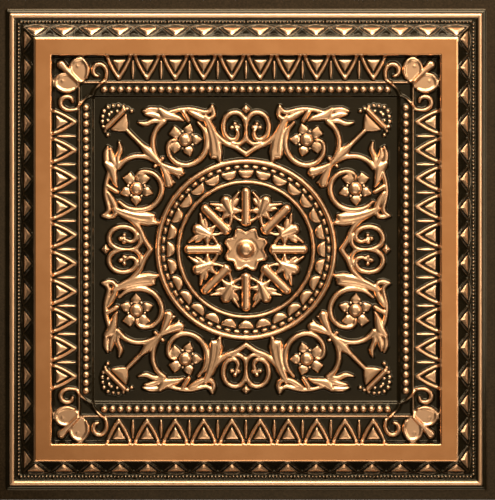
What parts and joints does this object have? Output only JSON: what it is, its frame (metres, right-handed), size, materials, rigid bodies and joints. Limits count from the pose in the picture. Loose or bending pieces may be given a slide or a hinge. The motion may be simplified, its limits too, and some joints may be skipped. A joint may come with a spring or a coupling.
{
  "type": "ceiling tile",
  "caption": "Square pressed ceiling tile with a stepped border of teeth, chevrons and beads round a scroll-work field and a rosette medallion, lying face up.",
  "frame": {"origin": "centre of the back plane that meets the ceiling or the floor", "axes": "+Z out of the decorated face, X and Y along the tile's sides"},
  "size_m": [0.603, 0.603, 0.0137],
  "materials": {
    "antiqued_face": "dark brown sheet with satin copper paint rubbed onto the raised parts"
  },
  "bodies": {
    "root": {"ceiling_tile": "antiqued_face"}
  },
  "joints": []
}
